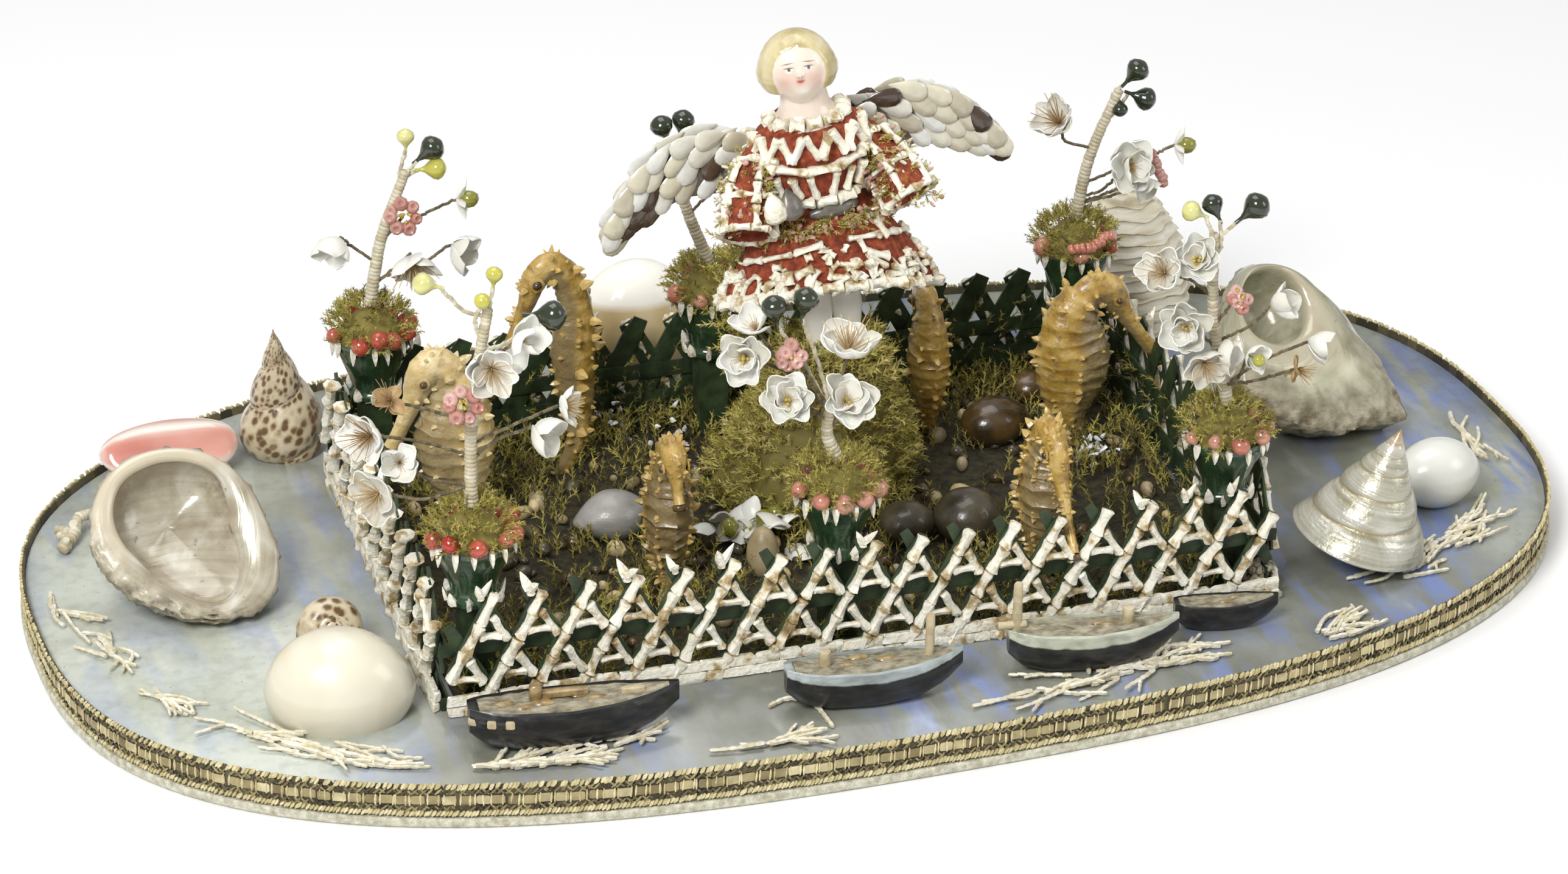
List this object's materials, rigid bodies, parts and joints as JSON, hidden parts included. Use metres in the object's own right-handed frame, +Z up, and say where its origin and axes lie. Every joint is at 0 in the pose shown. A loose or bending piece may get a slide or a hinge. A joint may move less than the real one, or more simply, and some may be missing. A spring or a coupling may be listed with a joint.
{
  "type": "shell diorama",
  "caption": "Oval sea board with a lattice-fenced garden of shells, seahorses and urns of shell flowers round a winged doll on a mossy mound, with shells and boats outside.",
  "frame": {"origin": "middle of the flat underside of the board", "axes": "+Z up, +X along the board's length to the right of the front, -Y towards the front with the boats"},
  "size_m": [0.5656, 0.3416, 0.2001],
  "materials": {
    "sea_board": "varnished paint",
    "braid": "metal thread",
    "green_card": "satin paint",
    "urn_green": "gloss varnish",
    "shell_flower": "satin",
    "moss": "matt dried moss",
    "china": "glazed",
    "red_cloth": "matt",
    "feather_shell": "gloss",
    "seahorse_hide": "varnished dry hide",
    "nacre": "pearly gloss",
    "pink_shell": "gloss",
    "spotted_shell": "satin gloss",
    "white_shell": "gloss",
    "cream_shell": "satin gloss",
    "boat_paint": "gloss paint",
    "dark_shell": "gloss"
  },
  "bodies": {
    "root": {"sea_board": "sea_board", "braid_edge": "braid", "fence_front": "green_card", "fence_back": "green_card", "fence_left": "green_card", "fence_right": "green_card", "post_front_left": "green_card", "post_front_middle": "green_card", "post_front_right": "green_card", "post_back_left": "green_card", "post_back_middle": "green_card", "post_back_right": "green_card", "urn_front_left": "urn_green", "urn_front_middle": "urn_green", "urn_front_right": "urn_green", "urn_back_left": "urn_green", "urn_back_middle": "urn_green", "urn_back_right": "urn_green", "spray_front_left": "shell_flower", "spray_front_middle": "shell_flower", "spray_front_right": "shell_flower", "spray_back_left": "shell_flower", "spray_back_middle": "shell_flower", "spray_back_right": "shell_flower", "mound": "moss", "doll_head": "china", "doll_leg_left": "china", "doll_leg_right": "china", "dress": "red_cloth", "wing_left": "feather_shell", "wing_right": "feather_shell", "seahorse_front_left": "seahorse_hide", "seahorse_front_right": "seahorse_hide", "seahorse_left": "seahorse_hide", "seahorse_right": "seahorse_hide", "seahorse_back_left": "seahorse_hide", "seahorse_back_right": "seahorse_hide", "turban_shell_left": "nacre", "turban_shell_right": "nacre", "pearly_top_shell": "nacre", "garden_pearl_shell": "nacre", "pink_shell": "pink_shell", "spotted_spire_shell": "spotted_shell", "small_turban_shell": "spotted_shell", "moon_shell": "white_shell", "egg_shell": "white_shell", "ribbed_shell": "white_shell", "garden_petal_shell": "white_shell", "cream_shell": "cream_shell", "garden_tulip_shell": "cream_shell", "boat_left": "boat_paint", "boat_middle": "boat_paint", "boat_right": "boat_paint", "boat_small": "boat_paint", "garden_limpet_left": "dark_shell", "garden_limpet_right": "dark_shell", "garden_pebble_front": "dark_shell", "garden_pebble_back": "dark_shell"}
  },
  "joints": []
}
